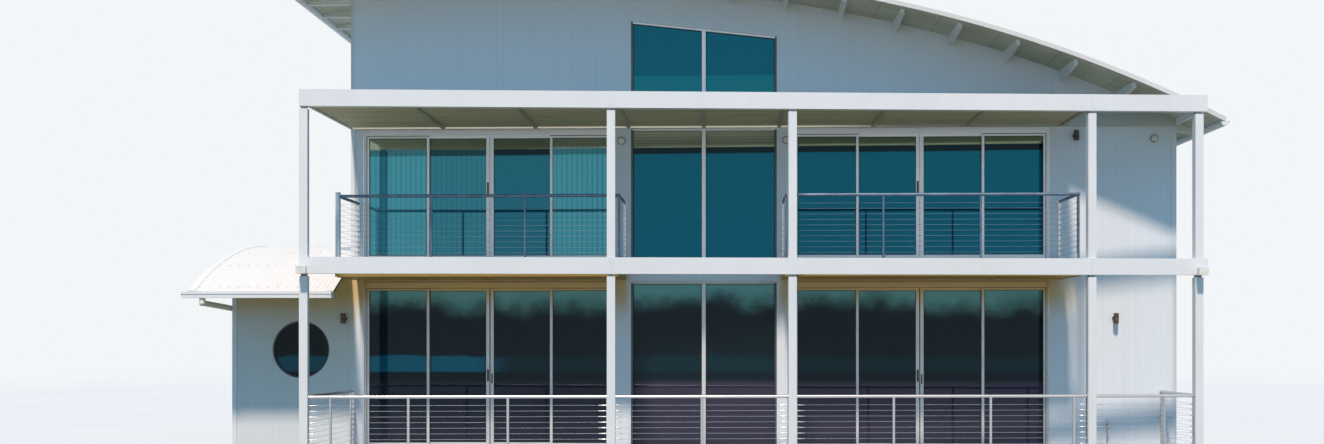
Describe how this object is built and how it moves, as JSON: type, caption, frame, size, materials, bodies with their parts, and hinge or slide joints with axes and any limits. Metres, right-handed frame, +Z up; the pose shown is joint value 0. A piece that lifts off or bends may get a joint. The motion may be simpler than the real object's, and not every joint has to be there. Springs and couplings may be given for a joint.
{
  "type": "beach house",
  "caption": "Two-storey beach house with a curved metal roof, a low vaulted wing, a framed verandah with wire railings, balconies and glazed sliding doors",
  "frame": {"origin": "middle of the main block in plan, at ground level, on the underside of the ground floor slab", "axes": "+X to the right along the front wall, -Y out of the front towards the verandah, +Z up"},
  "size_m": [15.8325, 12.0793, 7.9797],
  "materials": {
    "wall_cladding": "painted grooved boards",
    "frame_paint": "pale grey paint",
    "roof_metal": "off-white corrugated steel",
    "louvre_paint": "olive grey paint",
    "concrete": "stands for cast concrete with a trowelled face",
    "floor_lining": "timber floor, satin",
    "window_aluminium": "powder coated aluminium, light grey",
    "window_glass": "tinted reflective glass",
    "railing_steel": "satin steel tube and wire",
    "dark_fittings": "dark bronze paint",
    "white_fittings": "white, satin"
  },
  "bodies": {
    "house": {"ground_floor": "concrete", "upper_floor": "floor_lining", "front_plinth": "wall_cladding", "front_piers_ground": "wall_cladding", "front_floor_band": "wall_cladding", "front_piers_upper": "wall_cladding", "front_gable": "wall_cladding", "left_wall": "wall_cladding", "right_wall": "wall_cladding", "back_wall": "wall_cladding", "main_roof": "roof_metal", "roof_brackets": "frame_paint", "eave_gutters": "frame_paint", "downpipes": "frame_paint", "corner_trims": "frame_paint", "wing_front_wall": "wall_cladding", "wing_outer_walls": "wall_cladding", "wing_floor": "concrete", "wing_roof": "roof_metal", "wing_gutters": "frame_paint", "round_window_frame": "window_aluminium", "verandah_floor": "concrete", "columns_ground": "frame_paint", "columns_upper": "frame_paint", "column_necks": "dark_fittings", "lower_beam": "frame_paint", "upper_beam": "frame_paint", "side_beams": "frame_paint", "wall_ledger": "frame_paint", "verandah_rafters": "frame_paint", "louvre_blades": "louvre_paint", "balcony_floors": "frame_paint", "ground_railing": "railing_steel", "ground_railing_ends": "railing_steel", "left_balcony_railing": "railing_steel", "right_balcony_railing": "railing_steel", "balcony_railing_ends": "railing_steel", "ground_door_frames": "window_aluminium", "upper_door_frames": "window_aluminium", "window_frames": "window_aluminium", "back_window_frames": "window_aluminium", "side_window_frames": "window_aluminium", "ground_glass": "window_glass", "upper_glass": "window_glass", "back_glass": "window_glass", "side_glass": "window_glass", "wall_lights": "dark_fittings", "round_lights": "white_fittings", "floodlights": "white_fittings"},
    "left_leaf_a": {"left_door_a": "window_aluminium", "left_door_a_glass": "window_glass"},
    "left_leaf_b": {"left_door_b": "window_aluminium", "left_door_b_glass": "window_glass"},
    "right_leaf_a": {"right_door_a": "window_aluminium", "right_door_a_glass": "window_glass"},
    "right_leaf_b": {"right_door_b": "window_aluminium", "right_door_b_glass": "window_glass"}
  },
  "joints": [
    {"name": "left_leaf_a_slide", "type": "slide", "parent": "house", "child": "left_leaf_a", "axis": [-1, 0, 0], "range_m": [0, 0.88]},
    {"name": "left_leaf_b_slide", "type": "slide", "parent": "house", "child": "left_leaf_b", "axis": [1, 0, 0], "range_m": [0, 0.88]},
    {"name": "right_leaf_a_slide", "type": "slide", "parent": "house", "child": "right_leaf_a", "axis": [-1, 0, 0], "range_m": [0, 0.88]},
    {"name": "right_leaf_b_slide", "type": "slide", "parent": "house", "child": "right_leaf_b", "axis": [1, 0, 0], "range_m": [0, 0.88]}
  ]
}
